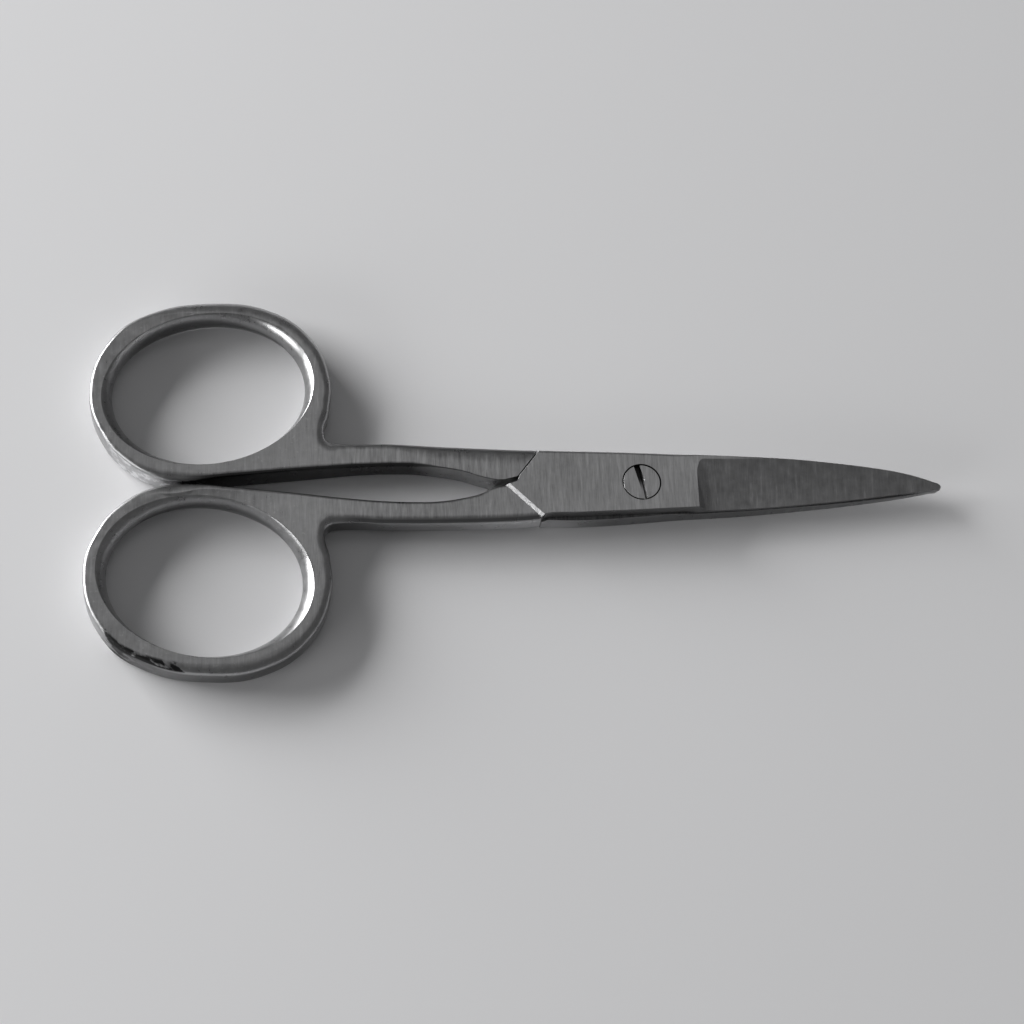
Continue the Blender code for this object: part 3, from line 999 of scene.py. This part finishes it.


# %% [markdown]
# ## Walls
#
# The walls carry painted shade and painted highlights, darker or lighter than the flats. Painted
# shade darkens the shank's rolled edges and the box's walls, and the near walls of the rings,
# apart from the bottom half's, which carries a painted highlight in blotches. A painted highlight
# band on the near wall grows from the shank to the box. The bottom half's wall in the gap sees
# only the other half, so its painted shade is almost black.

# %% Find the walls
SHANK_WALLS = (-21, -16)
RING_WALL = (0.15, 0.35)
# Across the scissors in mm: the bottom half's ring wall has painted highlight blotches before this,
# painted shade after it.
HIGHLIGHT_BLOTCHES_BELOW = (9, 11)
RING_ENDS = (-36, -32)


def shank_walls(surface):
    """Painted shade: the shank's rolled edges and the box's walls, on the straight sides only."""
    rolled = surface.level.over(0.3, 0.55) * surface.level.under(0.88, 0.97)
    wall = surface.level.under(0.4, 0.95) * (surface.level.over(0.1, 0.4) * 0.4 + 0.6)
    either = rolled + (wall - rolled) * surface.box
    return either * surface.straight * surface.along.past(*SHANK_WALLS)


def painted_highlight_band(surface):
    """Painted highlight on the near wall: weak along the shank, strong where the box starts."""
    wall = surface.level.under(*UPRIGHT_WALL) * surface.straight
    wall = wall * surface.near.over(*NEAR_SIDE)
    rising = surface.along.past(-20, -14) * 0.3 + surface.along.past(-10, 1) * 0.6
    return wall * rising * surface.along.before(3, 10)


def gap_wall_shade(surface):
    """Painted shade on the near wall of the bottom half's shank, in the gap between the shanks."""
    wall = surface.near.over(0.2, 0.5) * surface.level.under(0.9, 0.97)
    wall = wall * surface.across.before(3, 4.5)
    return wall * surface.along.past(*RING_ENDS) * surface.along.before(-12, -8)


# The rings' walls that face the near side, where painted shade and painted highlight blotches go.
def ring_wall(surface):
    return surface.level.under(*RING_WALL) * surface.near.over(*NEAR_SIDE)


def painted_highlight_blotches(surface, mottle):
    """Painted highlight in blotches on the near wall of the bottom half's ring."""
    wall = ring_wall(surface) * surface.across.before(*HIGHLIGHT_BLOTCHES_BELOW)
    blotches = mottle.over(0.42, 0.6) * 0.65 + 0.25
    return wall * blotches * surface.along.before(*RING_ENDS)


# %% [markdown]
# ## Marks of use
#
# Two marks are each on one place only: scale from the forging on the near edge of the top
# half's ring, and the strokes of a file on the arrow's slope. Painted shade darkens the screw's
# slot and the hairline round its head.

# %% Find the marks
PATCH_CENTRE = Vector((-38.6, -18.6, 2.2)) * MM
PATCH_TURN = (0, 0, math.radians(-36))
PATCH_GRAIN = (1.9 * MM, 0.8 * MM, 0.8 * MM)
PATCH_REACH = (2.8, 6.2)
SLOPE_NORMAL = Vector((-0.51, -0.533, 0.675))
# How the painted shade in the screw's recesses fades in, downwards and along, in mm.
RECESS_SHADE_DEPTH = 0.06
RECESS_SHADE_FADE = 1.6


def burnt_patch(surface):
    """Scale left on the rolled edge low on the top half's ring, drawn out along the ring."""
    place = surface.place
    away = place.make(
        "ShaderNodeVectorMath", {"operation": "DISTANCE"}, {0: place, 1: PATCH_CENTRE}, "Value"
    )
    laid = place.make(
        "ShaderNodeMapping", {"vector_type": "TEXTURE"},
        {"Vector": place, "Location": PATCH_CENTRE, "Rotation": PATCH_TURN, "Scale": PATCH_GRAIN},
    )
    patchy = place.make(
        "ShaderNodeTexNoise", {}, {"Vector": laid, "Scale": 1.0, "Detail": 3.0}, "Fac"
    )
    close = away.before(*PATCH_REACH)
    rolled = surface.near.over(-0.02, 0.12) * surface.near.under(0.8, 0.95)
    return (close * 0.35 + patchy).over(0.7, 0.8) * rolled * close.over(0, 0.3)


def filed_slope(surface):
    """1 on the arrow's filed slope, 0 elsewhere."""
    facing = surface.normal.make(
        "ShaderNodeVectorMath", {"operation": "DOT_PRODUCT"},
        {0: surface.normal, 1: SLOPE_NORMAL}, "Value",
    )
    return facing.over(0.97, 0.99)


def recess_painted_shade(surface, below, behind):
    """Painted shade: 1 near the screw's axis, under a height and behind a depth in mm; else 0."""
    place = surface.place
    beside = place.make(
        "ShaderNodeMapping", {},
        {"Vector": place, "Location": (-pivot.x, -pivot.y, 0), "Scale": (1, 1, 0)},
    )
    out = place.make("ShaderNodeVectorMath", {"operation": "LENGTH"}, {0: beside}, "Value")
    inside = out.before(SINK_RADIUS + 0.01, SINK_RADIUS + 0.03)
    deep = place.part("Z").before(below - RECESS_SHADE_DEPTH, below)
    return inside * deep * surface.across.past(behind, behind + RECESS_SHADE_FADE)


# %% [markdown]
# ## Satin steel
#
# The flat faces were ground on a belt that ran across the scissors, so they carry short fine
# lines along Y. The rounded edges were polished afterwards: smoother, with a soft mottle. The
# same material tells the two apart by how level the surface is. The blade's hollow face is
# ground more finely than the box and shank, and glints just in front of its root. The rings are
# polished on their flats too, and worn matt in patches where they face left.
#
# Each noise has its mean at 0.5, so what it adds is counted from there.

# %% Sizes and shades of the steel
GRAINS = {
    "fine": ((11000, 700, 700), 2.0, 0.5),
    "broad": ((3000, 260, 260), 3.0, 0.5),
    "mottle": ((900, 900, 900), 4.0, 0.6),
    "cloud": ((110, 110, 110), 2.0, 0.5),
    "specks": ((3600, 3600, 3600), 1.0, 0.5),
}
FILE_STROKES = ((4200, 4200, 4200), 3.0, 0.7)
GROUND_LEVEL = (0.93, 0.985)
GRINDING_FROM = (-26, -17)
RING_GRINDING = 0.35
BLADE_FROM = (18.4, 18.9)
ROOT_ENDS = (19.5, 22)
WORN_RING_ENDS = (-36, -30)
DEPTH = {"polished": 0.4, "ground": 2.6, "less on blade": 1.6}
SHADING = {"mottle": 0.9, "cloud": 0.7}
GLINTS = {"specks": 0.4, "less on shank": 0.3, "ground": 0.5, "root": 0.35}
ROUGHNESS = {"steel": 0.3, "lines": 0.12, "mottle": 0.2, "ground": 0.06}
WORN_ROUGHNESS = {"worn": 0.14, "mottle": 0.6}
MARK_ROUGHNESS = {"scale": 0.1, "filed": 0.12, "recess_shade": 0.2}
HEIGHT = {"lines": 0.008, "mottle": 0.01, "cloud": 0.03, "scale": 0.05, "strokes": 0.09}
# How far the painted wall shade and the painted shade in the gap go.
WALL_SHADE_SHARE = 0.9
GAP_SHADE_SHARE = 0.85
# Shares of the tone: dark and light bound the grain, the wall and gap entries are painted shade,
# blotch and the two bands are painted highlights, file stroke is the file's marks.
SHADES = {
    "dark": 0.7,
    "light": 1.3,
    "painted wall shade": 0.5,
    "blotch": 2.3,
    "bottom band": 2.1,
    "top band": 2.4,
    "gap": 0.12,
    "file stroke": 0.35,
}
SCALE_GREY = 0.03
RECESS_SHADE_GREY = 0.04
BUMP_DISTANCE = 0.5 * MM
print("grains", list(GRAINS))


# %% Make the steel
def steel(name, tone, half="", recess_shade=()):
    """Satin steel. tone is its reflectance and half names the half it is for, if any.
    recess_shade is the height and the depth that recess_painted_shade takes."""
    material = bpy.data.materials.new(name)
    material.use_nodes = True
    tree = material.node_tree
    shader = tree.nodes["Principled BSDF"]
    shader.inputs["Metallic"].default_value = 1
    surface = Surface(tree)
    along = surface.along
    fine, broad, mottle, cloud, specks = (noise(surface.place, *grain) for grain in GRAINS.values())
    shades = {part: tone * share for part, share in SHADES.items()}

    shank = along.past(*GRINDING_FROM)
    blade = along.past(*BLADE_FROM)
    root = blade * along.before(*ROOT_ENDS)
    ground = surface.level.over(*GROUND_LEVEL) * (shank * (1 - RING_GRINDING) + RING_GRINDING)
    worn = along.before(*WORN_RING_ENDS) * surface.right.under(-0.4, -0.1)
    lines = fine * 0.5 + broad * 0.5
    depth = ground * (DEPTH["ground"] - blade * DEPTH["less on blade"]) + DEPTH["polished"]
    cut_lines = (lines - 0.5) * depth
    uneven = mottle - 0.5

    shade = cut_lines + uneven * SHADING["mottle"] + (cloud - 0.5) * SHADING["cloud"] + 0.5
    glints = specks.over(0.68, 0.74) * (shank * -GLINTS["less on shank"] + GLINTS["specks"])
    glints = glints + broad.over(0.62, 0.72) * ground * GLINTS["ground"]
    glints = glints + fine.over(0.5, 0.7) * root * GLINTS["root"]
    colour = mix_colour(shade + glints, shades["dark"], shades["light"])
    roughness = cut_lines * ROUGHNESS["lines"] + uneven * ROUGHNESS["mottle"]
    roughness = roughness + ground * ROUGHNESS["ground"] + ROUGHNESS["steel"]
    roughness = roughness + worn * (uneven * WORN_ROUGHNESS["mottle"] + WORN_ROUGHNESS["worn"])
    height = lines * depth * HEIGHT["lines"]
    height = height + mottle * HEIGHT["mottle"] + cloud * HEIGHT["cloud"]

    # Painted shade on the shank's rolled edges, the box's walls and the rings' near walls.
    ring_wall_shade = ring_wall(surface)
    if half == "bottom":
        ring_wall_shade = ring_wall_shade * surface.across.past(*HIGHLIGHT_BLOTCHES_BELOW)
    painted_wall_shade = shank_walls(surface)
    painted_wall_shade = painted_wall_shade.math("MAXIMUM", painted_wall_shade, ring_wall_shade)
    colour = mix_colour(painted_wall_shade * WALL_SHADE_SHARE, colour, shades["painted wall shade"])
    if half == "bottom":
        # Painted highlights: blotches on the ring's near wall and a band on the box's near wall.
        band = painted_highlight_band(surface) * along.past(0.5, 1.5)
        colour = mix_colour(painted_highlight_blotches(surface, mottle), colour, shades["blotch"])
        colour = mix_colour(band, colour, shades["bottom band"])
        # Painted shade, almost black, on the wall in the gap.
        colour = mix_colour(gap_wall_shade(surface) * GAP_SHADE_SHARE, colour, shades["gap"])
    if half == "top":
        burnt = burnt_patch(surface)
        filed = filed_slope(surface)
        strokes = noise(surface.place, *FILE_STROKES)
        # Painted highlight: a band on the near wall of the top half's shank.
        band = painted_highlight_band(surface) * (1 - surface.box)
        colour = mix_colour(band, colour, shades["top band"])
        colour = mix_colour(burnt, colour, SCALE_GREY)
        colour = mix_colour(filed * strokes.over(0.5, 0.72), colour, shades["file stroke"])
        roughness = roughness + burnt * MARK_ROUGHNESS["scale"] + filed * MARK_ROUGHNESS["filed"]
        height = height - burnt * HEIGHT["scale"] + filed * strokes * HEIGHT["strokes"]
    # Painted shade in the screw's slot and in the hairline round its head.
    if recess_shade:
        recess_shaded = recess_painted_shade(surface, *recess_shade)
        colour = mix_colour(recess_shaded, colour, RECESS_SHADE_GREY)
        roughness = roughness + recess_shaded * MARK_ROUGHNESS["recess_shade"]

    bump = height.make(
        "ShaderNodeBump", {},
        {"Strength": 1.0, "Distance": BUMP_DISTANCE, "Height": height}, "Normal",
    )
    tree.links.new(colour.socket, shader.inputs["Base Color"])
    tree.links.new(roughness.socket, shader.inputs["Roughness"])
    tree.links.new(bump.socket, shader.inputs["Normal"])
    return material


for piece, finish in (
    (top_half, steel("satin_steel_top", 0.39, "top", recess_shade=(3.5, -9))),
    (bottom_half, steel("satin_steel_bottom", 0.38, "bottom")),
    (screw, steel("satin_steel_screw", 0.41, recess_shade=(3.2, -0.9))),
):
    piece.data.materials.clear()
    piece.data.materials.append(finish)
    print("finish", piece.name, finish.name, len(finish.node_tree.nodes), "nodes")

# %% [markdown]
# ## Floor and light
#
# A plain pale table top and soft light. The brightest light comes low from the far left, as a
# window would give it. A weaker one, lower still, comes from the near left, and a soft one high
# up behind lifts the flat faces. The window could be a real opening in a wall, but area lights
# that the camera doesn't see give the same shading with less noise.

# %% Lay the floor
FLOOR_HALF_WIDTH = 1.5
FLOOR_COLOUR = (0.78, 0.78, 0.79, 1)
FLOOR_ROUGHNESS = 0.9
FLOOR_SHINE = 0.1


def make_floor():
    shape = bmesh.new()
    bmesh.ops.create_grid(shape, x_segments=1, y_segments=1, size=FLOOR_HALF_WIDTH)
    floor = link_piece("floor", finish_mesh(shape, "floor"))
    material = bpy.data.materials.new("pale_floor")
    material.use_nodes = True
    shader = material.node_tree.nodes["Principled BSDF"]
    shader.inputs["Base Color"].default_value = FLOOR_COLOUR
    shader.inputs["Roughness"].default_value = FLOOR_ROUGHNESS
    shader.inputs["Specular IOR Level"].default_value = FLOOR_SHINE
    floor.data.materials.append(material)
    return floor


floor = make_floor()
print("floor", [round(side, 2) for side in floor.dimensions])

# %% Hang the lights
LIGHT_DISTANCE = 1.0
STUDIO_COLOUR = (0.13, 0.13, 0.131, 1)


def soft_light(name, azimuth, elevation, size, brightness):
    """An area light that looks at the pivot from a direction given in degrees."""
    data = bpy.data.lights.new(name, "AREA")
    data.shape = "RECTANGLE"
    data.size, data.size_y = size
    data.energy = math.pi * size[0] * size[1] * brightness
    lamp = bpy.data.objects.new(name, data)
    bpy.context.scene.collection.objects.link(lamp)
    turn = math.radians(azimuth)
    rise = math.radians(elevation)
    direction = Vector((
        math.cos(turn) * math.cos(rise), math.sin(turn) * math.cos(rise), math.sin(rise)
    ))
    lamp.location = pivot + direction * LIGHT_DISTANCE
    lamp.rotation_euler = direction.to_track_quat("Z", "Y").to_euler()
    lamp.visible_camera = False


def make_world():
    """A dim even studio all round."""
    world = bpy.data.worlds.new("studio")
    bpy.context.scene.world = world
    world.use_nodes = True
    world.node_tree.nodes["Background"].inputs["Color"].default_value = STUDIO_COLOUR


soft_light("window_light", 152, 16, (0.84, 0.42), 17.5)
soft_light("low_light", 211, 12, (0.6, 0.22), 7.0)
soft_light("sky_light", 76, 65, (0.5, 0.4), 0.41)
make_world()
bpy.context.scene.view_settings.view_transform = "Standard"
print("lights", [lamp.name for lamp in bpy.data.lights])
